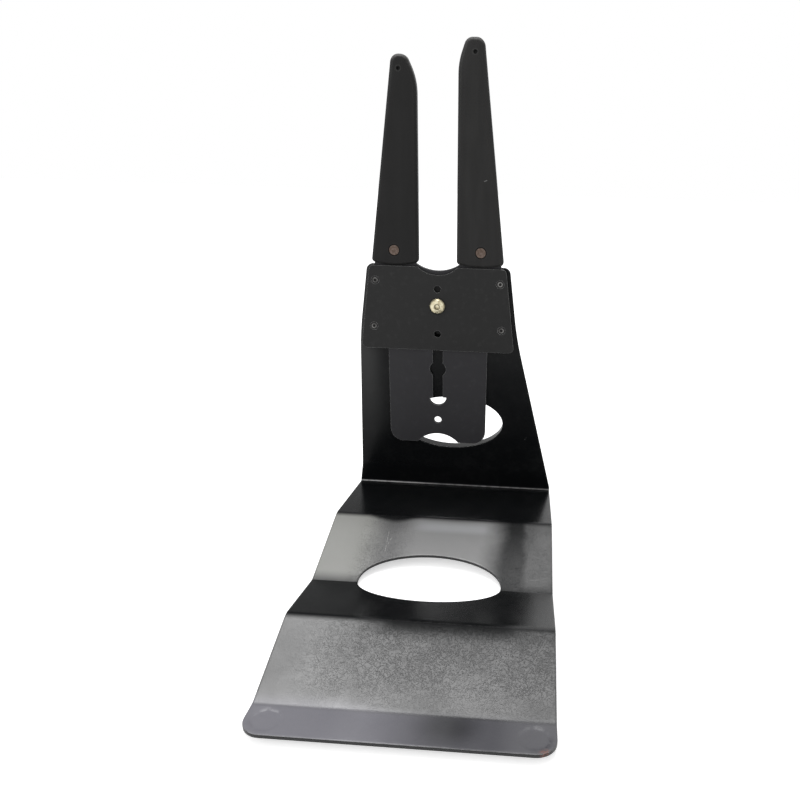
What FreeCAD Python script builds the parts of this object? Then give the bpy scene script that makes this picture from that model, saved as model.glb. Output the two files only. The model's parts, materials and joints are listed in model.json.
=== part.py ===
import FreeCAD, Part

import math
import os

from FreeCAD import Vector

# Bike display stand. Millimetres, +X to the right, -Y towards the viewer, +Z up.
# The origin is the middle of the bounding box in plan, on the floor.

# stand plate: one bent steel sheet, a ribbed foot in front and an upright behind
sheet_thickness = 3.0
bend_radius = 3.0
lip_radius = 12.0
ridge_radius = 18.0
valley_radius = 5.0
foot_width = 250.0
foot_length = 431.9
foot_corner_radius = 18.0
lip_length = 36.0
lip_height = 5.6
lip_rise = 4.7
rear_ridge_from_upright = 122.5
valley_from_upright = 227.0
front_ridge_from_upright = 306.0
rear_ridge_height = 25.5
front_ridge_height = 25.5
valley_height = 6.0
foot_hole_from_upright = 222.6
foot_hole_from_middle = -3.0
foot_hole_width = 149.0
foot_hole_depth = 80.0

# upright, seen from the front, with its head to the left of the foot's middle
head_from_middle = -21.8
upright_height = 293.0
shoulder_height = 208.0
shoulder_width = 192.0
head_top_width = 169.5
head_corner_radius = 8.0
toe_inset = 2.8
toe_height = 22.0
hand_hole_from_middle = -4.0
hand_hole_height = 93.2
hand_hole_width = 129.0
hand_hole_rise = 70.0
hand_hole_collar = 9.5

# round notch that the head, the cover and the fork share, so that a tyre clears them
notch_radius = 34.0
notch_depth = 9.5

# cover plate in front of the fork
cover_thickness = 3.0
cover_height = 101.5
cover_top_width = 161.0
cover_bottom_width = 186.5
cover_corner_radius = 6.0
cover_above_head = -0.4
sight_hole_radius = 4.2
upper_sight_hole_below_top = 26.1
lower_sight_hole_below_top = 81.0

# spacer bars between the cover and the head, which guide the fork
spacer_inset = 2.0
spacer_corner_radius = 3.0
shoulder_drop = 3.5

# fork: a flat plate with a tongue below and two prongs above
fork_thickness = 4.0
fork_side_play = 0.4
fork_face_play = 0.25
fork_stop_gap = 0.3
tongue_width = 121.2
tongue_length = 223.3
tongue_corner_radius = 16.0
tongue_notch_depth = 12.0
tongue_hole_radius = 4.6
tongue_hole_from_end = 30.9
fork_notch_drop = 2.0
bridge_gap = 1.3

# slot in the tongue with a round station every pitch and a half-round foot
slot_width = 12.5
station_radius = 10.0
station_pitch = 40.4
station_count = 3
slot_foot_radius = 10.5
slot_foot_below_station = 37.3

# moulded fingers on the prongs, the right one longer
finger_gap = 45.0
finger_base_width = 55.0
finger_tip_width = 27.0
finger_thickness = 13.0
finger_wall = 3.0
finger_fit = 0.2
finger_edge_flat = 2.6
finger_edge_break = 0.9
finger_foot_gap = 0.5
finger_foot_dip = 2.4
finger_foot_rise = 3.6
left_finger_length = 223.6
right_finger_length = 241.0
left_tip_slant = 11.5
right_tip_slant = 8.5
finger_tip_fall = 24.0
finger_tip_sweep = 65.0
finger_tip_radius = 9.0
finger_foot_radius = 4.0
finger_tip_hole_radius = 1.8
finger_tip_hole_depth = 2.5
finger_tip_hole_drop = 14.0

# rivet through the foot of each finger
rivet_head_radius = 5.7
rivet_head_height = 1.3
rivet_shank_radius = 3.0
rivet_fit = 0.1
rivet_pocket_depth = 1.5
rivet_pocket_play = 1.0
rivet_above_foot = 17.5
rivet_from_inner_edge = 28.0

# clamp bolt through the cover, the slot and the head
clamp_below_top = 46.4
clamp_shank_radius = 4.0
clamp_fit = 0.05
clamp_head_radius = 9.3
clamp_head_height = 4.6
clamp_head_dome = 2.8
clamp_head_flat = 4.4
clamp_socket_across_flats = 5.0
clamp_socket_depth = 2.8
clamp_washer_radius = 9.5
clamp_washer_thickness = 1.6
clamp_nut_across_flats = 13.0
clamp_nut_thickness = 6.5
clamp_end_beyond_nut = 2.5

# four countersunk screws that hold the cover and the spacers to the head
screw_shank_radius = 2.5
screw_head_radius = 4.75
screw_head_height = 2.3
screw_fit = 0.1
screw_socket_across_flats = 3.0
screw_socket_depth = 1.5
screw_nut_across_flats = 8.0
screw_nut_thickness = 4.0
screw_end_beyond_nut = 1.2
upper_screw_below_top = 17.6
lower_screw_below_top = 73.6
upper_screw_from_edge = 8.6
lower_screw_from_edge = 12.6

# rubber pads under round dimples in the front corners
dimple_radius = 14.5
dimple_floor_radius = 11.5
dimple_depth = 0.8
dimple_from_edge = 18.0
pad_radius = 10.8
pad_edge_break = 0.6

# depths along Y, counted backwards from the front face of the upright
channel_depth = fork_thickness + 2 * fork_face_play
cover_back = -channel_depth
cover_front = cover_back - cover_thickness
fork_back = -fork_face_play
fork_front = fork_back - fork_thickness
fork_middle = (fork_front + fork_back) / 2
upright_back = sheet_thickness
clamp_nut_front = upright_back + clamp_washer_thickness
clamp_nut_back = clamp_nut_front + clamp_nut_thickness
rearmost = max(clamp_nut_back + clamp_end_beyond_nut, upright_back + hand_hole_collar)
lip_tilt = math.atan2(lip_rise, lip_length)
foot_reach = foot_length + sheet_thickness * math.sin(lip_tilt)
upright_y = (foot_reach - rearmost) / 2

# heights above the floor
cover_top = upright_height + cover_above_head
cover_bottom = cover_top - cover_height
spacer_top = upright_height - shoulder_drop
fork_shoulder = spacer_top + fork_stop_gap
tongue_end = fork_shoulder - tongue_length
clamp_height = cover_top - clamp_below_top
slot_foot_height = clamp_height - (station_count - 1) * station_pitch - slot_foot_below_station
finger_foot = max(cover_top, upright_height) + finger_foot_gap
fork_notch_bottom = fork_shoulder - fork_notch_drop
bridge_top = finger_foot + finger_foot_rise - bridge_gap


def at(x, depth, z):
    """A point given by its distance from the head's centre line, depth and height."""
    return Vector(head_from_middle + x, upright_y + depth, z)


def offset_points(points, distance):
    """Move every side of a closed polygon inwards, for a polygon that runs anticlockwise."""
    moved = []
    count = len(points)
    for i in range(count):
        before, here, after = points[i - 1], points[i], points[(i + 1) % count]
        first = (here - before).normalize()
        second = (after - here).normalize()
        first_in = Vector(-first.y, first.x, 0)
        second_in = Vector(-second.y, second.x, 0)
        spread = 1 + first_in.dot(second_in)
        moved.append(here + (first_in + second_in) * (distance / spread))
    return moved


def rounded_wire(points, radii):
    """Closed wire through the points, with each corner rounded by its own radius."""
    edges = []
    count = len(points)
    starts, ends = [], []
    for i in range(count):
        here = points[i]
        to_before = (points[i - 1] - here).normalize()
        to_after = (points[(i + 1) % count] - here).normalize()
        half_angle = math.acos(max(-1.0, min(1.0, to_before.dot(to_after)))) / 2
        reach = radii[i] / math.tan(half_angle) if radii[i] > 0 else 0.0
        starts.append(here + to_before * reach)
        ends.append(here + to_after * reach)
        if reach > 0:
            bisector = (to_before + to_after).normalize()
            middle = here + bisector * (radii[i] / math.sin(half_angle) - radii[i])
            edges.append(Part.Arc(starts[i], middle, ends[i]).toShape())
    for i in range(count):
        following = starts[(i + 1) % count]
        if ends[i].distanceToPoint(following) > 1e-6:
            edges.append(Part.makeLine(ends[i], following))
    return Part.Wire(Part.__sortEdges__(edges))


def standing_slab(points, radii, front, back):
    """Solid between two depths whose outline is drawn in the plane of the upright."""
    face = Part.Face(rounded_wire(points, radii))
    slab = face.extrude(Vector(0, 0, back - front))
    slab.rotate(Vector(0, 0, 0), Vector(1, 0, 0), 90)
    slab.translate(Vector(head_from_middle, upright_y + back, 0))
    return slab


def rod(radius, x, z, front, back):
    """Round bar that runs from front to back."""
    return Part.makeCylinder(radius, back - front, at(x, front, z), Vector(0, 1, 0))


def hexagon(across_flats, x, z, front, back):
    """Six-sided bar that runs from front to back."""
    corner = across_flats / math.sqrt(3)
    ring = [at(x + corner * math.cos(math.radians(60 * i + 30)), front,
               z + corner * math.sin(math.radians(60 * i + 30))) for i in range(7)]
    return Part.Face(Part.makePolygon(ring)).extrude(Vector(0, back - front, 0))


def sheet_profile():
    """Closed outline of the bent sheet in the YZ plane, drawn as X = depth and Y = height."""
    heel = bend_radius + sheet_thickness
    run = rear_ridge_from_upright - bend_radius
    rise = rear_ridge_height - heel
    slope = math.atan2(rise, run) + math.asin(bend_radius / math.hypot(run, rise))
    crease_height = rear_ridge_height - rear_ridge_from_upright * math.tan(slope)
    top_side = [
        Vector(-foot_length, lip_height + lip_rise, 0),
        Vector(-(foot_length - lip_length), lip_height, 0),
        Vector(-front_ridge_from_upright, front_ridge_height, 0),
        Vector(-valley_from_upright, valley_height, 0),
        Vector(-rear_ridge_from_upright, rear_ridge_height, 0),
        Vector(0, crease_height, 0),
        Vector(0, upright_height, 0)]
    inner_radii = [0, lip_radius, ridge_radius, valley_radius, ridge_radius, bend_radius, 0]
    top_radii, under_side, under_radii = [], [], []
    last = len(top_side) - 1
    for i, here in enumerate(top_side):
        before = (here - top_side[i - 1]).normalize() if i > 0 else None
        after = (top_side[i + 1] - here).normalize() if i < last else None
        before, after = before or after, after or before
        normals = Vector(before.y, -before.x, 0) + Vector(after.y, -after.x, 0)
        under_side.append(here + normals * (sheet_thickness * 2 / normals.dot(normals)))
        hollow = before.x * after.y - before.y * after.x > 0
        inner = inner_radii[i]
        outer = inner + sheet_thickness if inner else 0
        top_radii.append(inner if hollow else outer)
        under_radii.append(outer if hollow else inner)
    return rounded_wire(top_side + under_side[::-1], top_radii + under_radii[::-1])


def oval(width, rise):
    """Elliptical face round the origin in the XY plane."""
    wide, tall = width / 2, rise / 2
    if wide >= tall:
        curve = Part.Ellipse(Vector(0, 0, 0), wide, tall)
    else:
        curve = Part.Ellipse(Vector(0, tall, 0), Vector(wide, 0, 0), Vector(0, 0, 0))
    return Part.Face(Part.Wire(curve.toShape()))


def standing_oval(width, rise, from_middle, height, front, back):
    """Oval bar that runs from front to back through the upright."""
    bar = oval(width, rise).extrude(Vector(0, 0, back - front))
    bar.rotate(Vector(0, 0, 0), Vector(1, 0, 0), 90)
    bar.translate(Vector(from_middle, upright_y + back, height))
    return bar


def notch_cutter(front, back):
    """Round bar whose lower side leaves the tyre notch in the head and the cover."""
    return rod(notch_radius, 0, cover_top - notch_depth + notch_radius, front, back)


def on_lip(shape):
    """Moves a shape from the origin to the front edge of the lip, with Y along it and Z out of it."""
    shape.rotate(Vector(0, 0, 0), Vector(1, 0, 0), -math.degrees(lip_tilt))
    shape.translate(Vector(0, upright_y - foot_length, lip_height + lip_rise))
    return shape


def stand_plate():
    """Foot and upright in one sheet: ribbed foot, tapered head, two oval holes and a notch."""
    profile = Part.Face(sheet_profile())
    sheet = profile.extrude(Vector(0, 0, foot_width))
    sheet.rotate(Vector(0, 0, 0), Vector(1, 0, 0), 90)
    sheet.rotate(Vector(0, 0, 0), Vector(0, 0, 1), 90)
    sheet.translate(Vector(-foot_width / 2, upright_y, 0))

    # trim the upright to its outline, from just above the bend upwards
    toe = bend_radius + sheet_thickness
    left, right = -foot_width / 2 - head_from_middle, foot_width / 2 - head_from_middle
    head_half, shoulder_half = head_top_width / 2, shoulder_width / 2
    outline = [
        Vector(left, toe, 0), Vector(right, toe, 0),
        Vector(shoulder_half, shoulder_height, 0), Vector(head_half, upright_height, 0),
        Vector(-head_half, upright_height, 0), Vector(-shoulder_half, shoulder_height, 0),
        Vector(left + toe_inset, toe + toe_height, 0)]
    radii = [0, 0, 2 * shoulder_height, head_corner_radius, head_corner_radius, 2 * shoulder_height,
             3 * toe_height]
    wanted = standing_slab(outline, radii, -1, sheet_thickness + 1)
    around = Part.makeBox(2 * foot_width, sheet_thickness + 2, 2 * upright_height,
                          Vector(-foot_width, upright_y - 1, toe))
    sheet = sheet.cut(around.cut(wanted))

    # round the two front corners of the lip, and sink the shallow dimples that the pads sit under
    reach = foot_corner_radius
    for side in (-1, 1):
        inner_x = side * (foot_width / 2 - reach)
        block = Part.makeBox(2 * reach, 2 * reach, 4 * sheet_thickness,
                             Vector(min(inner_x, inner_x + 2 * side * reach), -reach, -3 * sheet_thickness))
        post = Part.makeCylinder(reach, 6 * sheet_thickness, Vector(inner_x, reach, -4 * sheet_thickness))
        sheet = sheet.cut(on_lip(block.cut(post)))
        x, y = side * (foot_width / 2 - dimple_from_edge), dimple_from_edge
        boss = Part.makeCylinder(dimple_radius, sheet_thickness / 2, Vector(x, y, -sheet_thickness))
        sunk = Part.makeCone(dimple_floor_radius, dimple_radius, dimple_depth,
                             Vector(x, y, -sheet_thickness - dimple_depth))
        hollow = Part.makeCone(dimple_floor_radius, dimple_radius, dimple_depth, Vector(x, y, -dimple_depth))
        sheet = sheet.fuse(on_lip(boss.fuse(sunk))).cut(on_lip(hollow))

    # oval hole through the foot, from straight above
    opening = oval(foot_hole_width, foot_hole_depth).extrude(Vector(0, 0, 2 * rear_ridge_height))
    opening.translate(Vector(foot_hole_from_middle, upright_y - foot_hole_from_upright,
                             -rear_ridge_height / 2))
    sheet = sheet.cut(opening)

    # hand hole through the upright, its rim turned back as a collar
    collar_width = hand_hole_width + 2 * sheet_thickness
    collar_rise = hand_hole_rise + 2 * sheet_thickness
    collar = standing_oval(collar_width, collar_rise, hand_hole_from_middle, hand_hole_height,
                           sheet_thickness / 2, upright_back + hand_hole_collar)
    sheet = sheet.fuse(collar)
    sheet = sheet.cut(standing_oval(hand_hole_width, hand_hole_rise, hand_hole_from_middle, hand_hole_height,
                                    -1, upright_back + hand_hole_collar + 1))

    # tyre notch, clamp hole and screw holes in the head
    sheet = sheet.cut(notch_cutter(-1, upright_back + 1))
    sheet = sheet.cut(rod(clamp_shank_radius + clamp_fit, 0, clamp_height, -1, upright_back + 1))
    for x, z in screw_places():
        sheet = sheet.cut(rod(screw_shank_radius + screw_fit, x, z, -1, upright_back + 1))
    return sheet.removeSplitter()


def cover_half_width(z):
    """Half the width of the cover at a height."""
    down = (cover_top - z) / cover_height
    return (cover_top_width + (cover_bottom_width - cover_top_width) * down) / 2


def screw_places():
    """Where the four cover screws are, from the head's centre line and the floor."""
    places = []
    for below, from_edge in ((upper_screw_below_top, upper_screw_from_edge),
                             (lower_screw_below_top, lower_screw_from_edge)):
        z = cover_top - below
        x = cover_half_width(z) - from_edge
        places += [(-x, z), (x, z)]
    return places


def screw_cone(x, z, play):
    """Countersunk head, or with some play the seat cut for it."""
    height = screw_head_height
    return Part.makeCone(screw_head_radius + play, screw_shank_radius + play, height,
                         at(x, cover_front, z), Vector(0, 1, 0))


def cover_plate():
    """Tapered plate with rounded corners that traps the fork against the head."""
    top_half, bottom_half = cover_top_width / 2, cover_bottom_width / 2
    corners = [Vector(-bottom_half, cover_bottom, 0), Vector(bottom_half, cover_bottom, 0),
               Vector(top_half, cover_top, 0), Vector(-top_half, cover_top, 0)]
    plate = standing_slab(corners, [cover_corner_radius] * 4, cover_front, cover_back)
    plate = plate.cut(notch_cutter(cover_front - 1, cover_back + 1))
    plate = plate.cut(rod(clamp_shank_radius + clamp_fit, 0, clamp_height, cover_front - 1, cover_back + 1))
    for below in (upper_sight_hole_below_top, lower_sight_hole_below_top):
        plate = plate.cut(rod(sight_hole_radius, 0, cover_top - below, cover_front - 1, cover_back + 1))
    for x, z in screw_places():
        plate = plate.cut(screw_cone(x, z, screw_fit))
        plate = plate.cut(rod(screw_shank_radius + screw_fit, x, z, cover_front - 1, cover_back + 1))
    return plate


def spacer(side):
    """Bar between cover and head whose straight inner edge guides the fork's tongue."""
    inner = tongue_width / 2 + fork_side_play
    low = cover_bottom + spacer_inset
    high = spacer_top
    corners = [Vector(inner, low, 0), Vector(cover_half_width(low) - spacer_inset, low, 0),
               Vector(cover_half_width(high) - spacer_inset, high, 0), Vector(inner, high, 0)]
    if side < 0:
        corners = [Vector(-point.x, point.y, 0) for point in corners][::-1]
    bar = standing_slab(corners, [spacer_corner_radius] * 4, cover_back, 0)
    for x, z in screw_places():
        bar = bar.cut(rod(screw_shank_radius + screw_fit, x, z, cover_back - 1, 1))
    return bar


def finger_corners(side):
    """Corner points and radii of a finger drawn as a right-hand one, from its inner foot."""
    length, slant = right_finger_length, right_tip_slant
    if side < 0:
        length, slant = left_finger_length, left_tip_slant
    inner = finger_gap / 2
    outer = inner + finger_base_width
    tip = finger_foot + length
    shoulder = finger_foot + finger_foot_rise
    points = [
        Vector(inner, shoulder, 0), Vector((inner + outer) / 2, finger_foot - finger_foot_dip, 0),
        Vector(outer, shoulder, 0), Vector(inner + finger_tip_width, tip, 0),
        Vector(inner + slant, tip, 0), Vector(inner, tip - finger_tip_fall, 0)]

    # the round foot touches the foot level with its lowest point
    tilt = math.atan2(finger_foot_rise + finger_foot_dip, finger_base_width / 2)
    foot_sweep = finger_foot_dip / (1 / math.cos(tilt) - 1)
    radii = [finger_foot_radius, foot_sweep, finger_foot_radius, finger_tip_radius, finger_tip_radius,
             finger_tip_sweep]
    return points, radii


def mirrored_slab(side, points, radii, front, back):
    """Solid from a right-hand outline, turned over for the left side."""
    if side < 0:
        points = [Vector(-point.x, point.y, 0) for point in points][::-1]
        radii = radii[::-1]
    return standing_slab(points, radii, front, back)


def core_outline(side, inset, low):
    """Finger outline moved inwards by an inset, its sides carried straight down to a level."""
    points, radii = finger_corners(side)
    foot, tip = points[2], points[3]
    start = low - inset
    outer = tip.x + (foot.x - tip.x) * (tip.y - start) / (tip.y - foot.y)
    points = [Vector(points[0].x, start, 0), Vector(outer, start, 0)] + points[3:]
    radii = [0, 0] + [radius - inset if radius > inset else 0.5 for radius in radii[3:]]
    return offset_points(points, inset), radii


def prong(side):
    """Steel core of a finger, standing on the fork's shoulder."""
    points, radii = core_outline(side, finger_wall + finger_fit, fork_shoulder)
    return mirrored_slab(side, points, radii, fork_front, fork_back)


def fork_plate():
    """Sliding plate: slotted tongue, shoulders that stop on the spacers and two prongs."""
    half, corner = tongue_width / 2, tongue_corner_radius
    tongue = [Vector(-half, tongue_end, 0), Vector(half, tongue_end, 0),
              Vector(half, fork_shoulder, 0), Vector(-half, fork_shoulder, 0)]
    plate = standing_slab(tongue, [corner, corner, 0, 0], fork_front, fork_back)
    plate = plate.fuse(prong(-1)).fuse(prong(1))

    # bridge between the prongs, with a round notch like the one in the end of the tongue
    half_gap = finger_gap / 2 + finger_wall + finger_fit
    sagitta = bridge_top - fork_notch_bottom
    radius = (half_gap ** 2 + sagitta ** 2) / (2 * sagitta)
    bridge = Part.makeBox(2 * half_gap, fork_thickness, bridge_top - fork_shoulder,
                          at(-half_gap, fork_front, fork_shoulder))
    notch = rod(radius, 0, fork_notch_bottom + radius, fork_front - 1, fork_back + 1)
    gap = Part.makeBox(2 * half_gap, fork_thickness + 2, 2 * sagitta,
                       at(-half_gap, fork_front - 1, fork_notch_bottom))
    plate = plate.fuse(bridge).cut(notch.common(gap))
    plate = plate.cut(rod(notch_radius, 0, tongue_end + tongue_notch_depth - notch_radius,
                          fork_front - 1, fork_back + 1))
    plate = plate.cut(slot_cutter())
    for side in (-1, 1):
        x, z = rivet_place(side)
        plate = plate.cut(rod(rivet_shank_radius + rivet_fit, x, z, fork_front - 1, fork_back + 1))
    plate = plate.cut(rod(tongue_hole_radius, 0, tongue_end + tongue_hole_from_end, fork_front - 1,
                          fork_back + 1))
    return plate.removeSplitter()


def slot_cutter():
    """Slot with its round stations and its half-round foot."""
    front, back = fork_front - 1, fork_back + 1
    depth = back - front
    length = clamp_height - slot_foot_height
    cutter = Part.makeBox(slot_width, depth, length, at(-slot_width / 2, front, slot_foot_height))
    for i in range(station_count):
        cutter = cutter.fuse(rod(station_radius, 0, clamp_height - i * station_pitch, front, back))
    foot = rod(slot_foot_radius, 0, slot_foot_height, front, back)
    upper_half = Part.makeBox(2 * slot_foot_radius, depth, slot_foot_radius,
                              at(-slot_foot_radius, front, slot_foot_height))
    return cutter.fuse(foot.cut(upper_half))


def rivet_place(side):
    """Where the rivet of a finger is."""
    return side * (finger_gap / 2 + rivet_from_inner_edge), finger_foot + rivet_above_foot


def finger(side):
    """Moulded finger: body with broken edges, pocket for the prong, rivet hole and small tip hole."""
    front = fork_middle - finger_thickness / 2
    back = fork_middle + finger_thickness / 2
    points, radii = finger_corners(side)
    tip_x = (points[3].x + points[4].x) / 2
    tip_z = points[3].y - finger_tip_hole_drop
    body = mirrored_slab(side, points, radii, front, back)
    for size in (finger_edge_flat, finger_edge_break):
        rims = [edge for edge in body.Edges if edge.BoundBox.YLength < 1e-6
                and min(abs(edge.BoundBox.YMin - at(0, depth, 0).y) for depth in (front, back)) < 1e-6]
        body = body.makeChamfer(size, rims)
    points, radii = core_outline(side, finger_wall, finger_foot - 2 * finger_foot_dip)
    pocket = mirrored_slab(side, points, radii, fork_front - finger_fit, fork_back + finger_fit)
    body = body.cut(pocket)
    x, z = rivet_place(side)
    body = body.cut(rod(rivet_shank_radius + rivet_fit, x, z, front - 1, back + 1))
    play = rivet_head_radius + rivet_pocket_play
    body = body.cut(rod(play, x, z, front - 1, front + rivet_pocket_depth))
    body = body.cut(rod(play, x, z, back - rivet_pocket_depth, back + 1))
    return body.cut(rod(finger_tip_hole_radius, side * tip_x, tip_z, front - 1,
                        front + finger_tip_hole_depth))


def finger_rivet(side):
    """Rivet with a flat head at each end."""
    x, z = rivet_place(side)
    front = fork_middle - finger_thickness / 2 + rivet_pocket_depth
    back = fork_middle + finger_thickness / 2 - rivet_pocket_depth
    shank = rod(rivet_shank_radius, x, z, front - rivet_head_height, back + rivet_head_height)
    for start in (front - rivet_head_height, back):
        head = rod(rivet_head_radius, x, z, start, start + rivet_head_height)
        shank = shank.fuse(head)
    return shank.removeSplitter()


def clamp_bolt():
    """Bolt with a domed socket head that clamps the fork in the channel."""
    face = cover_front - clamp_fit
    end = clamp_nut_back + clamp_end_beyond_nut
    radius = clamp_head_radius
    steps = [(0, clamp_head_height), (clamp_head_flat, clamp_head_height)]
    steps.append((clamp_head_flat + (radius - clamp_head_flat) * 0.7,
                  clamp_head_height - clamp_head_dome * 0.3))
    steps += [(radius, clamp_head_height - clamp_head_dome), (radius, 0), (clamp_shank_radius, 0)]
    outline = [Vector(x, face - height, 0) for x, height in steps]
    outline += [Vector(clamp_shank_radius, end, 0), Vector(0, end, 0), outline[0]]
    bolt = Part.Face(Part.makePolygon(outline)).revolve(Vector(0, 0, 0), Vector(0, 1, 0), 360)
    bolt.translate(at(0, 0, clamp_height))
    outer = face - clamp_head_height
    return bolt.cut(hexagon(clamp_socket_across_flats, 0, clamp_height, outer - 1,
                            outer + clamp_socket_depth))


def clamp_washer():
    """Flat washer between the head and the clamp nut."""
    ring = rod(clamp_washer_radius, 0, clamp_height, upright_back, clamp_nut_front)
    return ring.cut(rod(clamp_shank_radius + clamp_fit, 0, clamp_height, upright_back - 1,
                        clamp_nut_front + 1))


def clamp_nut():
    """Hexagon nut behind the washer."""
    nut = hexagon(clamp_nut_across_flats, 0, clamp_height, clamp_nut_front, clamp_nut_back)
    return nut.cut(rod(clamp_shank_radius + clamp_fit, 0, clamp_height, clamp_nut_front - 1,
                       clamp_nut_back + 1))


def cover_screw(x, z):
    """Countersunk socket screw through the cover, a spacer and the head."""
    end = upright_back + screw_nut_thickness + screw_end_beyond_nut
    screw = screw_cone(x, z, 0).fuse(rod(screw_shank_radius, x, z, cover_front, end))
    socket = hexagon(screw_socket_across_flats, x, z, cover_front - 1, cover_front + screw_socket_depth)
    return screw.removeSplitter().cut(socket)


def cover_nut(x, z):
    """Nut of one cover screw, behind the head."""
    front, back = upright_back, upright_back + screw_nut_thickness
    return hexagon(screw_nut_across_flats, x, z, front, back).cut(
        rod(screw_shank_radius, x, z, front - 1, back + 1))


def foot_pad(side):
    """Round rubber pad between the floor and the underside of a dimple."""
    x, y, depth = side * (foot_width / 2 - dimple_from_edge), dimple_from_edge, sheet_thickness + dimple_depth
    seat = on_lip(Part.Vertex(x, y, -depth)).Point
    pad = Part.makeCylinder(pad_radius, seat.z + pad_radius, Vector(seat.x, seat.y, 0))
    over = Part.makeBox(4 * pad_radius, 4 * pad_radius, 4 * pad_radius,
                        Vector(x - 2 * pad_radius, y - 2 * pad_radius, -depth))
    pad = pad.cut(on_lip(over))
    lower_rim = [edge for edge in pad.Edges if edge.BoundBox.ZMax < 1e-6]
    return pad.makeChamfer(pad_edge_break, lower_rim)


def build():
    """Every piece by its name."""
    pieces = {
        "stand_plate": stand_plate(),
        "cover_plate": cover_plate(),
        "fork_plate": fork_plate(),
        "clamp_bolt": clamp_bolt(),
        "clamp_washer": clamp_washer(),
        "clamp_nut": clamp_nut()}
    for name, side in (("left", -1), ("right", 1)):
        pieces["spacer_" + name] = spacer(side)
        pieces["finger_" + name] = finger(side)
        pieces["finger_rivet_" + name] = finger_rivet(side)
        pieces["foot_pad_" + name] = foot_pad(side)
    names = ("top_left", "top_right", "bottom_left", "bottom_right")
    for name, (x, z) in zip(names, screw_places()):
        pieces["cover_screw_" + name] = cover_screw(x, z)
        pieces["cover_nut_" + name] = cover_nut(x, z)
    return pieces


os.makedirs("parts", exist_ok=True)
for piece_name, solid in build().items():
    solid.exportStep("parts/" + piece_name + ".step")
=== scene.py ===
import json
import math

import bpy
from mathutils import Euler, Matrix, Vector

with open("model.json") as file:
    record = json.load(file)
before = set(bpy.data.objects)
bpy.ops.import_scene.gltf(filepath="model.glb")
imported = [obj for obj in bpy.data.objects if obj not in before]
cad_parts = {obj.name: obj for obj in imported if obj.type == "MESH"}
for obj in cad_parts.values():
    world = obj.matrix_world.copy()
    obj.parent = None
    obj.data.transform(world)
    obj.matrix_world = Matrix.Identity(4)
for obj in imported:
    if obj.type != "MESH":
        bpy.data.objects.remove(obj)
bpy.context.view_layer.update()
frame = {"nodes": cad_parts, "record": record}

# All places are in metres in the part's own frame: X to the right, -Y along the foot, Z up.

# view of the photograph: place, turn in degrees, focal length, sensor width, shift and clipping
CAMERA_PLACE = (0.08598, -0.63041, 0.45916)
CAMERA_TURN = (68.1356, -1.4099, 3.7276)
CAMERA_LENS = 32.3116
CAMERA_SENSOR = 36.0
CAMERA_SHIFT = (-0.10826, 0.00388)
CAMERA_CLIP = (0.02, 50)

# lamps: place, the point that each looks at, size and power
LAMPS = {
    "overhead": ((-0.15, 0.45, 1.9), (0, 0, 0.05), (1.4, 1.2), 22),
    "front_left": ((-1.2, -1.1, 1.2), (0, 0.1, 0.25), (1.0, 1.0), 8)}

# strength of the surroundings as matt surfaces get it, and as camera and mirror rays see it
ROOM_LIGHT = 0.7
ROOM_WHITE = 1.0

FLOOR_SIZE = 8.0
FLOOR_DROP = 0.0004
FLOOR_GLOW = 0.56
FLOOR_PAPER = ((0.86, 0.86, 0.86, 1), (0.9, 0.9, 0.9, 1))

# broken edges: width by node, how many faces across, and the least angle of an edge in degrees
EDGE_WIDTHS = {
    "stand_plate": 0.0004, "cover_plate": 0.0004, "fork_plate": 0.0004,
    "finger_left": 0.0005, "finger_right": 0.0005}
EDGE_FACES = 2
EDGE_ANGLE = 38
WELD_REACH = 0.000001

# along Y: where the lip meets the front slope of the foot, and where the foot meets the upright
LIP_BEND = -0.1866
BEND_LINE = 0.2082

# heights between which the upright's coat turns into the foot's
FOOT_TOP = (0.034, 0.026)

# along X: the darker dip and the band of painted shade on the rear slope, and the dark reflection on the
# front one
DIP_MIDDLE = -0.056
BAND_START = (0.045, 0.084)
BAND_END = (0.116, 0.088)
REFLECTION_MIDDLE = 0.064

# middle of the painted highlight under the rear ridge along X and Y, and of the dark blotch on the lip
RIDGE_HIGHLIGHT = (0.014, 0.071)
BLOTCH = (0.036, -0.199, 0.006)
BLOTCH_RADIUS = 0.036

# scratches on the foot and upright, and the rust at the corner
SCRATCHES = [
    ((-0.0584, 0.0588, 0.0203), (-0.0572, 0.0291, 0.0147)),
    ((-0.0536, 0.0512, 0.0188), (-0.0560, 0.0400, 0.0168)),
    ((0.0890, 0.2093, 0.0730), (0.0915, 0.2093, 0.0765))]
SCRATCH_WIDTH = 0.0005
RUST_SPOT = (0.1150, -0.2200, 0.0100)
RUST_RADIUS = 0.0062

# fingers: the line between them along X, the height of each tip, and the mark on the right one
FINGER_LINE = (-0.03, -0.035)
FINGER_TIPS = {"left": 0.5171, "right": 0.5345}
FINGER_MARK = ((0.0312, 0.2006, 0.3905), (0.0338, 0.2006, 0.3916))
FINGER_MARK_WIDTH = 0.0008

# painted shade in the hollows of the fingers, rivet pockets and tip holes: place along X and Z, and radius
HOLLOW_SHADES = [
    (-0.0723, 0.311, 0.0068), (0.0287, 0.311, 0.0068),
    (-0.0636, 0.5031, 0.0024), (0.0185, 0.5205, 0.0024)]
HOLLOW_FADE = 0.0004

# clamp bolt along X and Z, the radius of its socket, and where the grime and painted shade of its rim
# begins and is full
BOLT_PLACE = (-0.0218, 0.2462)
BOLT_SOCKET = 0.0031
BOLT_RIM = (0.0082, 0.0094)

# screws of the cover along X and Z, and the radius of the painted highlight ring round their sockets
SCREWS = [(-0.0959, 0.275), (0.0523, 0.275), (-0.0989, 0.219), (0.0553, 0.219)]
SCREW_RING = 0.0024

# painted shade on the fork behind the upper sight hole
SIGHT_HOLE_SHADE = (-0.0218, 0.2052, 0.2665)
SIGHT_RADIUS = 0.0062

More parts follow.
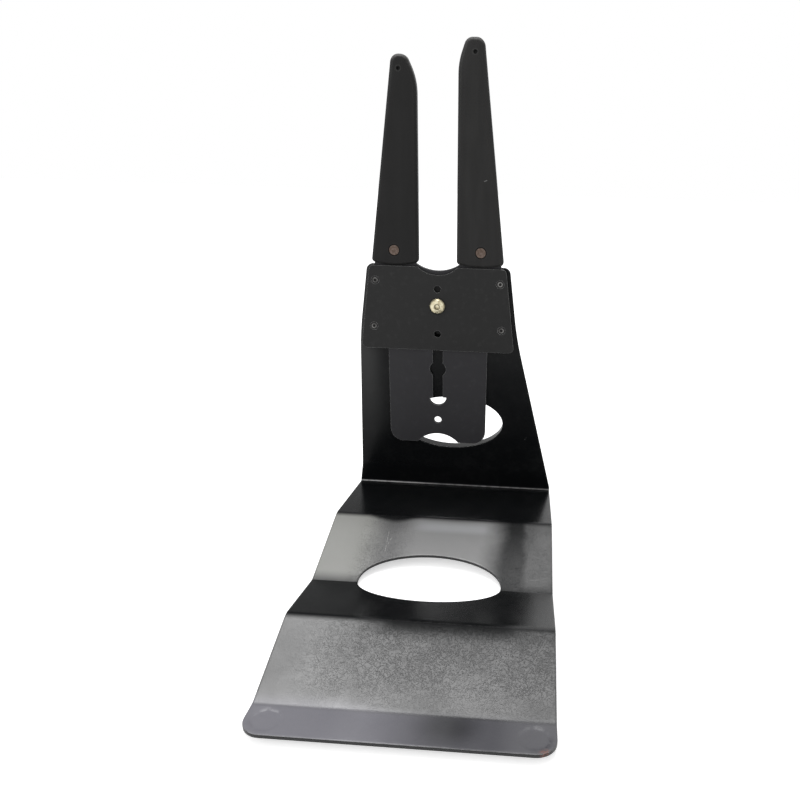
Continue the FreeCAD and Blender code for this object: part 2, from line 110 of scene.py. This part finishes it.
# colours
LIP_COAT = (0.08, 0.078, 0.098, 1.0)
YELLOWISH_COAT = (0.09, 0.092, 0.078, 1.0)
RUST = (0.13, 0.042, 0.03, 1.0)
DIRT_AND_SHADE = (0.07, 0.055, 0.035, 1.0)
FORK_COAT = ((0.026, 0.0255, 0.028, 1.0), (0.034, 0.0335, 0.037, 1.0))
RIVET_METAL = ((0.1, 0.07, 0.055, 1), (0.16, 0.12, 0.1, 1))
BOLT_ZINC = ((0.78, 0.72, 0.52, 1), (0.5, 0.43, 0.28, 1))
PLATED_ZINC = ((0.7, 0.68, 0.6, 1), (0.45, 0.42, 0.36, 1))

# samples of the nodes that feel for edges, and what counts as flat and as sharp there
EDGE_SAMPLES = 4
CREASE_SAMPLES = 6
FLAT_TO_SHARP = (0.995, 0.93)


class Shader:
    """One node material, with short calls for the nodes that it needs."""

    def __init__(self, name):
        self.material = bpy.data.materials.new(name)
        self.material.use_nodes = True
        self.tree = self.material.node_tree
        self.surface = self.tree.nodes["Principled BSDF"]
        where = self.node("TexCoord")
        self.place = where.outputs["Object"]
        self.facing = where.outputs["Normal"]

    def node(self, kind, **settings):
        """A new node of a kind, with its settings."""
        made = self.tree.nodes.new("ShaderNode" + kind)
        for name, value in settings.items():
            setattr(made, name, value)
        return made

    def put(self, socket, value):
        """Links an output to a socket, or sets a plain value on it."""
        if isinstance(value, bpy.types.NodeSocket):
            self.tree.links.new(value, socket)
        else:
            socket.default_value = value

    def fixed(self, **values):
        """Values that are the same all over the surface."""
        for name, value in values.items():
            self.surface.inputs[name.replace("_", " ")].default_value = value

    def maths(self, operation, *values):
        node = self.node("Math", operation=operation)
        for socket, value in zip(node.inputs, values):
            self.put(socket, value)
        return node.outputs[0]

    def total(self, first, second):
        return self.maths("ADD", first, second)

    def largest(self, first, second):
        return self.maths("MAXIMUM", first, second)

    def rest(self, value):
        """One less a value."""
        return self.maths("SUBTRACT", 1.0, value)

    def product(self, *values):
        """All the values multiplied together."""
        result = values[0]
        for value in values[1:]:
            result = self.maths("MULTIPLY", result, value)
        return result

    def mixed(self, share, first, second):
        """A number between two others."""
        node = self.node("Mix")
        self.put(node.inputs[0], share)
        self.put(node.inputs[2], first)
        self.put(node.inputs[3], second)
        return node.outputs[0]

    def blend(self, share, first, second):
        """A colour between two others."""
        node = self.node("Mix", data_type="RGBA")
        self.put(node.inputs[0], share)
        self.put(node.inputs[6], first)
        self.put(node.inputs[7], second)
        return node.outputs[2]

    def vector(self, operation, *values):
        node = self.node("VectorMath", operation=operation)
        for socket, value in zip(node.inputs, values):
            self.put(socket, value)
        return node.outputs["Value" if operation in ("DOT_PRODUCT", "DISTANCE") else "Vector"]

    def stretched(self, scale):
        """The place on the object, scaled by its own number along each axis."""
        return self.vector("MULTIPLY", self.place, scale)

    def numbers(self, vector):
        """The three numbers of a vector, along X, Y and Z."""
        node = self.node("SeparateXYZ")
        self.put(node.inputs[0], vector)
        return tuple(node.outputs)

    def remap(self, value, low, high, to_low=0.0, to_high=1.0):
        """Smooth step from one range to another, held at both ends."""
        node = self.node("MapRange", interpolation_type="SMOOTHSTEP")
        self.put(node.inputs["Value"], value)
        node.inputs["From Min"].default_value = low
        node.inputs["From Max"].default_value = high
        node.inputs["To Min"].default_value = to_low
        node.inputs["To Max"].default_value = to_high
        return node.outputs["Result"]

    def away(self, value, middle):
        """How far a value is from a middle, to either side."""
        return self.maths("ABSOLUTE", self.total(value, -middle))

    def near(self, value, middle, inner, outer):
        """One at a middle, zero beyond the outer distance from it."""
        return self.remap(self.away(value, middle), inner, outer, 1.0, 0.0)

    def from_axis(self, x, z):
        """Distance from a line along Y."""
        return self.vector("DISTANCE", self.stretched((1.0, 0.0, 1.0)), (x, 0.0, z))

    def spot(self, centre, radius, softness, squash=1.0):
        """One inside a ball and zero away from it; a squash above one shortens the ball along Y."""
        place = self.place if squash == 1.0 else self.stretched((1.0, squash, 1.0))
        distance = self.vector("DISTANCE", place, (centre[0], centre[1] * squash, centre[2]))
        return self.remap(distance, radius * (1 - softness), radius, 1.0, 0.0)

    def streak(self, start, end, width):
        """One along a scratch between two points and zero away from it."""
        run = Vector(end) - Vector(start)
        offset = self.vector("SUBTRACT", self.place, start)
        along = self.vector("DOT_PRODUCT", offset, tuple(run / run.length_squared))
        along = self.maths("MINIMUM", self.largest(along, 0.0), 1.0)
        scale = self.node("VectorMath", operation="SCALE")
        scale.inputs[0].default_value = tuple(run)
        self.put(scale.inputs["Scale"], along)
        distance = self.vector("DISTANCE", offset, scale.outputs["Vector"])
        return self.remap(distance, width * 0.2, width, 1.0, 0.0)

    def noise(self, scale, detail=2.0, roughness=0.5, place=None, distortion=0.0):
        node = self.node("TexNoise")
        self.put(node.inputs["Vector"], place or self.place)
        node.inputs["Scale"].default_value = scale
        node.inputs["Detail"].default_value = detail
        node.inputs["Roughness"].default_value = roughness
        node.inputs["Distortion"].default_value = distortion
        return node.outputs["Fac"]

    def rounded(self, radius, samples):
        """The surface's direction with its edges rounded off."""
        node = self.node("Bevel", samples=samples)
        node.inputs["Radius"].default_value = radius
        return node.outputs[0]

    def edge_wear_and_highlight(self, width):
        """One on a sharp edge and zero away from it."""
        straight = self.node("NewGeometry").outputs["Normal"]
        match = self.vector("DOT_PRODUCT", self.rounded(width, EDGE_SAMPLES), straight)
        return self.remap(match, *FLAT_TO_SHARP)

    def bumps(self, *layers, soften=0.0):
        """Adds height layers, each a value with its depth in metres, over softened creases."""
        normal = self.rounded(soften, CREASE_SAMPLES) if soften else None
        for value, depth in layers:
            node = self.node("Bump")
            node.inputs["Distance"].default_value = depth
            node.inputs["Strength"].default_value = 1.0
            self.put(node.inputs["Height"], value)
            if normal is not None:
                self.put(node.inputs["Normal"], normal)
            normal = node.outputs["Normal"]
        self.put(self.surface.inputs["Normal"], normal)

    def grain(self, scale, depth):
        """Fine even grain."""
        self.bumps((self.noise(scale), depth))

    def colour(self, value):
        self.put(self.surface.inputs["Base Color"], value)

    def roughness(self, value):
        self.put(self.surface.inputs["Roughness"], value)

    def uneven_gloss(self, scale, low, high, detail=3.0):
        """Roughness that wanders between two values."""
        self.roughness(self.remap(self.noise(scale, detail), 0.3, 0.7, low, high))


def grey(level, warmth=0.0):
    """Linear grey, a little warmer or cooler."""
    return (level * (1 + warmth), level, level * (1 - warmth), 1.0)


def film_and_sheen_start(s, y, wander, dip, rear):
    """Zero on the painted dark strip under each ridge, one where the grey layer of scuffs and painted sheen
    has begun.
    """
    under_rear_ridge = s.remap(s.total(y, s.product(dip, 0.007)), 0.088, 0.079)
    late = s.product(s.remap(wander, -0.06, -0.02), s.remap(wander, 0.075, 0.11, 1.0, 0.3))
    soon_after, long_after = s.remap(y, -0.0945, -0.1035), s.remap(y, -0.1, -0.121)
    return s.mixed(rear, s.mixed(late, soon_after, long_after), under_rear_ridge)


def film_and_sheen_strength(s, x, y, dip, band, rear, lip):
    """How strong the grey layer of scuffs and painted sheen is on the rear slope, the front slope and the
    lip.
    """
    dip_depth = s.mixed(s.remap(y, 0.05, 0.084), 0.45, 0.7)
    # the band of painted shade and the right side thin the grey layer, so they come out darker
    thin_right = s.largest(band, s.remap(x, 0.06, 0.1, 0.0, 0.74))
    on_rear = s.product(s.remap(x, -0.11, -0.06, 1.04, 1.02), s.rest(s.product(dip, dip_depth)),
                        s.rest(thin_right))
    middle = s.product(s.remap(x, -0.045, 0.1, 0.4, 0.26), s.remap(y, -0.112, -0.168, 0.7, 1.04))
    on_front = s.mixed(s.remap(x, -0.095, -0.04), 0.57, middle)
    blotch = s.spot(BLOTCH, BLOTCH_RADIUS, 0.85, squash=1.2)
    on_lip = s.maths("SUBTRACT", s.remap(x, -0.05, 0.05, 1.07, 0.43), s.product(blotch, 0.28))
    return s.mixed(rear, s.mixed(lip, on_front, on_lip), on_rear)


def wrinkled_parts(s, x, y, rear, lip):
    """Where the coat is wrinkled: round the dip and the hole, and on most of the front slope."""
    on_rear = s.largest(s.near(x, -0.06, 0.015, 0.04), s.remap(x, 0.055, 0.075, 0.0, 0.8))
    on_front = s.product(s.remap(x, -0.112, -0.06, 0.2, 1.0), s.remap(y, -0.176, -0.155, 0.35, 1.0))
    patches = s.remap(s.noise(24.0, 5.0, 0.62), 0.28, 0.52)
    return s.product(patches, s.mixed(rear, s.mixed(lip, on_front, 0.08), on_rear))


def mirror_level(s, x, y, on_foot, band, rear, begun):
    """How strongly the coat mirrors: less at the left, in the dark band and where the film begins."""
    steep = s.remap(s.numbers(s.facing)[1], 0.06, -0.06)
    dull_rear = s.remap(x, -0.09, -0.03, 0.1, 1.0)
    dull_front = s.product(s.remap(x, -0.066, -0.03, 0.05, 1.0),
                           s.remap(s.away(x, REFLECTION_MIDDLE), 0.01, 0.03, 0.35, 1.0))
    dull = s.mixed(steep, s.mixed(s.remap(y, 0.0, -0.03), dull_rear, dull_front), 1.0)
    dull = s.product(dull, s.mixed(s.product(steep, on_foot), 1.0, s.mixed(begun, 0.2, 1.0)),
                     s.rest(s.product(band, rear, s.remap(y, 0.0, 0.08, 0.1, 0.75))))
    on_slopes = s.product(s.mixed(s.remap(y, 0.05, 0.1), 0.19, 0.075), dull)
    return s.mixed(on_foot, 0.05, on_slopes)


def sheet_colour(s, x, y, z, film_and_sheen, on_foot, rear, lip):
    """Black coat under the grey layer of scuffs and painted sheen, with a painted highlight along the bend,
    the scratches and the rust.
    """
    black = s.blend(s.remap(s.noise(60.0, 6.0, 0.7), 0.45, 0.75), grey(0.004, -0.1), grey(0.007, -0.05))
    # lighter towards the left edge of the upright's front
    left_lightening = s.product(s.remap(z, 0.03, 0.2), s.remap(x, -0.085, -0.112), s.remap(y, 0.2, 0.206))
    black = s.blend(s.product(left_lightening, 0.65), black, grey(0.055))

    slopes = s.blend(s.product(rear, s.remap(x, -0.05, -0.09)), grey(0.09), YELLOWISH_COAT)
    # painted highlight: a lighter streak just under the rear ridge
    ridge_highlight = s.product(s.near(y, RIDGE_HIGHLIGHT[1], 0.001, 0.012), s.near(x, RIDGE_HIGHLIGHT[0], 0.025, 0.055))
    slopes = s.blend(ridge_highlight, slopes, grey(0.17, -0.03))
    coat = s.blend(film_and_sheen, black, s.blend(lip, slopes, LIP_COAT))

    # painted highlight: a bright line along the bend where the foot meets the upright; the scratches join
    # it below
    bend = s.product(s.near(y, BEND_LINE, 0.0003, 0.0009), on_foot, s.remap(x, -0.075, -0.01, 1.0, 0.42))
    bend_highlight_and_scratches = s.product(bend, s.remap(s.noise(160.0, 3.0), 0.3, 0.55, 0.6, 1.0))
    for start, end in SCRATCHES:
        broken = s.remap(s.noise(500.0), 0.35, 0.55)
        bend_highlight_and_scratches = s.largest(bend_highlight_and_scratches, s.product(s.streak(start, end, SCRATCH_WIDTH), 0.6, broken))
    coat = s.blend(bend_highlight_and_scratches, coat, grey(0.34))
    rust = s.product(s.spot(RUST_SPOT, RUST_RADIUS, 0.7), s.remap(s.noise(620.0, 4.0, 0.7), 0.42, 0.56))
    return s.blend(rust, coat, RUST)


def coated_sheet():
    """Black coat: polished on the rear slopes, with scuff marks and a painted sheen on the front ones, matt
    on the upright.
    """
    s = Shader("coated_sheet")
    x, y, z = s.numbers(s.place)
    toward_y, toward_z = s.numbers(s.facing)[1:]

    # zones of the sheet, each one inside it and zero outside
    rear = s.remap(y, -0.03, 0.0)
    on_foot = s.remap(z, *FOOT_TOP)
    lip = s.mixed(s.remap(x, -0.06, 0.0), s.remap(y, LIP_BEND + 0.016, LIP_BEND - 0.006),
                  s.remap(y, LIP_BEND + 0.006, LIP_BEND - 0.004))
    front_slope = s.remap(toward_y, 0.06, -0.12)
    # faces turned to the front, and the lip: scuffed, and made lighter by a painted sheen
    scuffed_and_lit = s.product(s.largest(front_slope, lip), on_foot, s.remap(toward_z, 0.4, 0.7))

    # darker dip and band of painted shade on the rear slope, with wandering sides
    wander = s.total(x, s.product(s.total(s.noise(45.0, 4.0, 0.6), -0.5), 0.013))
    lean = s.total(wander, s.remap(y, 0.06, 0.03, 0.0, 0.007))
    dip = s.near(wander, DIP_MIDDLE, 0.0, 0.034)
    band = s.product(s.remap(lean, *BAND_START), s.remap(wander, *BAND_END))

    # the grey layer of scuffs and painted sheen, broken up by curled wrinkles
    begun = film_and_sheen_start(s, y, wander, dip, rear)
    sheen_amount = film_and_sheen_strength(s, x, y, dip, band, rear, lip)
    wrinkled = wrinkled_parts(s, x, y, rear, lip)
    wrinkles = s.remap(s.away(s.noise(250.0, 2.0, 0.6, distortion=1.3), 0.5), 0.0, 0.055)
    texture = s.mixed(wrinkled, 1.0, s.remap(wrinkles, 0.0, 1.0, 0.7, 1.06))
    # grey colour on the front-facing faces: scuffing together with painted sheen
    film_and_sheen = s.product(scuffed_and_lit, begun, s.largest(sheen_amount, 0.02), texture)

    s.colour(sheet_colour(s, x, y, z, film_and_sheen, on_foot, rear, lip))
    smears = s.product(s.remap(s.noise(22.0, 5.0, 0.65), 0.3, 0.7), 0.1)
    s.roughness(s.total(s.mixed(scuffed_and_lit, 0.16, 0.36), smears))
    s.fixed(IOR=2.0)
    mirror = mirror_level(s, x, y, on_foot, band, rear, begun)
    s.put(s.surface.inputs["Specular IOR Level"], s.total(mirror, s.product(film_and_sheen, 0.42)))
    rough_height = s.product(wrinkles, s.mixed(s.product(scuffed_and_lit, wrinkled), 0.12, 1.0))
    s.bumps((rough_height, 0.0001), (s.noise(1100.0), 0.00002), soften=0.0025)
    return s.material


def satin_cover():
    """Satin black coat of the cover and spacers."""
    s = Shader("satin_cover")
    coat = s.blend(s.remap(s.noise(150.0, 5.0, 0.7), 0.5, 0.8), grey(0.017), grey(0.026))
    # lighter edges: wear and painted highlight
    s.colour(s.blend(s.edge_wear_and_highlight(0.0008), coat, grey(0.09)))
    s.uneven_gloss(25.0, 0.42, 0.52, detail=4.0)
    s.fixed(Specular_IOR_Level=0.2)
    s.grain(700.0, 0.00003)
    return s.material


def satin_fork():
    """Satin black coat of the fork, with painted shade behind the upper sight hole."""
    s = Shader("satin_fork")
    coat = s.blend(s.remap(s.noise(120.0, 5.0, 0.7), 0.5, 0.8), *FORK_COAT)
    # painted shade seen through the upper sight hole; it moves with the fork
    coat = s.blend(s.spot(SIGHT_HOLE_SHADE, SIGHT_RADIUS, 0.25), coat, grey(0.001))
    # lighter edges: wear and painted highlight
    s.colour(s.blend(s.edge_wear_and_highlight(0.0008), coat, grey(0.12)))
    s.uneven_gloss(25.0, 0.38, 0.5, detail=4.0)
    s.fixed(Specular_IOR_Level=0.2)
    s.grain(700.0, 0.00003)
    return s.material


def moulded_plastic():
    """Black moulded plastic: painted shade on the left finger, painted sheen mottled like dust on the tips,
    painted shade in the hollows, and one mark.
    """
    s = Shader("moulded_plastic")
    x, _, z = s.numbers(s.place)
    left = s.remap(x, *FINGER_LINE)
    streaks = s.noise(40.0, 4.0, place=s.stretched((2.5, 1.0, 0.35)))
    plastic = s.blend(s.remap(streaks, 0.3, 0.75), grey(0.013, 0.02), grey(0.018, 0.02))
    # painted shade: the left finger is made darker than the right one
    plastic = s.blend(s.product(left, 0.6), plastic, grey(0.003))

    height = s.total(z, s.mixed(left, -FINGER_TIPS["right"], -FINGER_TIPS["left"]))
    # painted sheen on the faces turned up and the edges near the tips, mottled like dust
    upward = s.remap(s.numbers(s.facing)[2], 0.1, 0.7)
    tip_sheen = s.total(s.product(upward, s.remap(height, -0.05, -0.03)),
                   s.product(s.edge_wear_and_highlight(0.0035), s.remap(height, -0.09, -0.01, 0.12, 0.8)))
    tip_sheen = s.product(tip_sheen, s.remap(s.noise(420.0, 4.0, 0.7), 0.25, 0.75, 0.35, 0.75))
    plastic = s.blend(tip_sheen, plastic, grey(0.11, 0.02))

    # painted shade inside each hollow
    for hollow_x, hollow_z, radius in HOLLOW_SHADES:
        inside = s.remap(s.from_axis(hollow_x, hollow_z), radius + HOLLOW_FADE, radius - HOLLOW_FADE)
        plastic = s.blend(inside, plastic, grey(0.0015))
    s.colour(s.blend(s.streak(*FINGER_MARK, FINGER_MARK_WIDTH), plastic, grey(0.12)))
    s.fixed(Specular_IOR_Level=0.22)
    s.uneven_gloss(30.0, 0.5, 0.6)
    s.grain(1500.0, 0.00003)
    return s.material


def aged_rivet():
    s = Shader("aged_rivet")
    s.colour(s.blend(s.remap(s.noise(500.0, 4.0), 0.4, 0.65), *RIVET_METAL))
    s.fixed(Metallic=0.7)
    s.uneven_gloss(300.0, 0.35, 0.6)
    s.grain(1200.0, 0.00005)
    return s.material


def zinc(name, colours):
    """Zinc plating, with painted shade in the socket and grime with painted shade round the rim of the
    bolt.
    """
    s = Shader(name)
    metal = s.blend(s.remap(s.noise(330.0, 5.0, 0.7), 0.42, 0.64), *colours)
    radius = s.from_axis(*BOLT_PLACE)
    # painted shade in the socket, and grime with painted shade at the rim
    dirt_and_shade = s.largest(s.near(radius, BOLT_SOCKET, 0.0002, 0.0009), s.remap(radius, *BOLT_RIM))
    s.colour(s.blend(s.product(dirt_and_shade, 0.85), metal, DIRT_AND_SHADE))
    s.fixed(Metallic=1.0)
    s.uneven_gloss(200.0, 0.25, 0.42)
    s.grain(900.0, 0.00003)
    return s.material


def black_screw():
    """Black screws and nuts, with painted shade in the socket and at the rim, and a painted highlight ring
    round the socket.
    """
    s = Shader("black_screw")
    metal = s.blend(s.remap(s.noise(700.0, 4.0), 0.5, 0.7), grey(0.011), grey(0.03, 0.1))
    for x, z in SCREWS:
        radius = s.from_axis(x, z)
        ring_breakup = s.remap(s.noise(260.0), 0.35, 0.6, 0.25, 1.0)
        # painted highlight ring round the socket, broken up by noise
        metal = s.blend(s.product(s.near(radius, SCREW_RING, 0.0002, 0.0009), ring_breakup), metal, grey(0.2, 0.03))
        # painted shade in the socket
        metal = s.blend(s.remap(radius, 0.0017, 0.0013), metal, grey(0.0015))
        # painted shade at the rim of the head
        rim = s.product(s.remap(radius, 0.0038, 0.0043), s.remap(radius, 0.006, 0.005))
        metal = s.blend(rim, metal, grey(0.004))
    s.colour(metal)
    s.fixed(Metallic=0.4)
    s.uneven_gloss(500.0, 0.35, 0.5)
    s.grain(1500.0, 0.00003)
    return s.material


def pad_rubber():
    s = Shader("pad_rubber")
    s.colour(s.blend(s.remap(s.noise(200.0, 4.0), 0.4, 0.7), grey(0.015), grey(0.03)))
    s.uneven_gloss(80.0, 0.7, 0.85)
    s.grain(1200.0, 0.00006)
    return s.material


def edge_coat_and_highlight():
    """Thin rubbed coat on the broken edges, lighter also by a painted highlight, which catches more light.
    """
    s = Shader("edge_coat_and_highlight")
    s.colour(s.blend(s.remap(s.noise(240.0, 5.0, 0.7), 0.4, 0.65), grey(0.12), grey(0.38)))
    s.uneven_gloss(90.0, 0.25, 0.4)
    s.fixed(IOR=1.9, Specular_IOR_Level=0.5)
    s.grain(900.0, 0.00002)
    return s.material


def dress():
    """Gives every CAD node its material."""
    made = {
        "black_sheet": coated_sheet(),
        "black_cover": satin_cover(),
        "black_fork": satin_fork(),
        "finger_plastic": moulded_plastic(),
        "rivet_metal": aged_rivet(),
        "zinc_bolt": zinc("zinc_bolt", BOLT_ZINC),
        "zinc_plated": zinc("zinc_plated", PLATED_ZINC),
        "black_screw": black_screw(),
        "pad_rubber": pad_rubber()}
    for row in frame["record"]["subparts"]:
        mesh = frame["nodes"][row["node"]].data
        mesh.materials.clear()
        mesh.materials.append(made[row["material_slot"]])


def round_edges():
    """Breaks the sharp edges of the sheets and fingers by a fraction of a millimetre."""
    coat = edge_coat_and_highlight()
    for name, width in EDGE_WIDTHS.items():
        node = frame["nodes"][name]
        node.data.materials.append(coat)
        node.modifiers.new("weld", "WELD").merge_threshold = WELD_REACH
        bevel = node.modifiers.new("edges", "BEVEL")
        bevel.width = width
        bevel.segments = EDGE_FACES
        bevel.limit_method = "ANGLE"
        bevel.angle_limit = math.radians(EDGE_ANGLE)
        bevel.material = 1
        node.modifiers.new("even", "WEIGHTED_NORMAL").weight = 100


def floor():
    """Plain pale floor that shows as white and keeps the object's soft shadow."""
    mesh = bpy.data.meshes.new("floor")
    half = FLOOR_SIZE / 2
    corners = [(-half, -half, 0), (half, -half, 0), (half, half, 0), (-half, half, 0)]
    mesh.from_pydata(corners, [], [(0, 1, 2, 3)])
    plane = bpy.data.objects.new("floor", mesh)
    bpy.context.scene.collection.objects.link(plane)
    plane.location = (0, 0, -FLOOR_DROP)
    s = Shader("floor_white")
    s.colour(s.blend(s.remap(s.noise(3.0, 3.0), 0.3, 0.7, 0.88, 0.9), *FLOOR_PAPER))
    s.uneven_gloss(6.0, 0.85, 0.95)
    glow = s.node("Emission")
    seen = s.node("LightPath").outputs["Is Camera Ray"]
    s.put(glow.inputs["Strength"], s.product(seen, FLOOR_GLOW))
    both = s.node("AddShader")
    s.put(both.inputs[0], s.surface.outputs[0])
    s.put(both.inputs[1], glow.outputs[0])
    s.put(s.tree.nodes["Material Output"].inputs["Surface"], both.outputs[0])
    mesh.materials.append(s.material)


def surroundings():
    """White room for camera, mirror and lens rays, and a plain level for the rest."""
    world = bpy.data.worlds.new("studio")
    bpy.context.scene.world = world
    world.use_nodes = True
    tree = world.node_tree
    rays = tree.nodes.new("ShaderNodeLightPath")
    seen = rays.outputs["Is Camera Ray"]
    for kind in ("Is Glossy Ray", "Is Transmission Ray"):
        either = tree.nodes.new("ShaderNodeMath")
        either.operation = "MAXIMUM"
        tree.links.new(seen, either.inputs[0])
        tree.links.new(rays.outputs[kind], either.inputs[1])
        seen = either.outputs[0]
    level = tree.nodes.new("ShaderNodeMapRange")
    tree.links.new(seen, level.inputs["Value"])
    level.inputs["To Min"].default_value = ROOM_LIGHT
    level.inputs["To Max"].default_value = ROOM_WHITE
    background = tree.nodes["Background"]
    tree.links.new(level.outputs["Result"], background.inputs["Strength"])
    background.inputs["Color"].default_value = (1, 1, 1, 1)


def lamp(name, place, target, size, power):
    """Soft rectangular lamp that looks at a point."""
    data = bpy.data.lights.new(name, "AREA")
    data.shape = "RECTANGLE"
    data.size, data.size_y = size
    data.energy = power
    light = bpy.data.objects.new(name, data)
    bpy.context.scene.collection.objects.link(light)
    light.location = place
    aim = Vector(target) - Vector(place)
    light.rotation_euler = aim.to_track_quat("-Z", "Y").to_euler()


def camera():
    data = bpy.data.cameras.new("photo_view")
    data.sensor_width = CAMERA_SENSOR
    data.lens = CAMERA_LENS
    data.shift_x, data.shift_y = CAMERA_SHIFT
    data.clip_start, data.clip_end = CAMERA_CLIP
    view = bpy.data.objects.new("photo_view", data)
    bpy.context.scene.collection.objects.link(view)
    view.location = CAMERA_PLACE
    view.rotation_euler = Euler([math.radians(angle) for angle in CAMERA_TURN], "XYZ")
    bpy.context.scene.camera = view


dress()
round_edges()
floor()
surroundings()
for lamp_name, settings in LAMPS.items():
    lamp(lamp_name, *settings)
camera()
bpy.context.scene.view_settings.view_transform = "Standard"
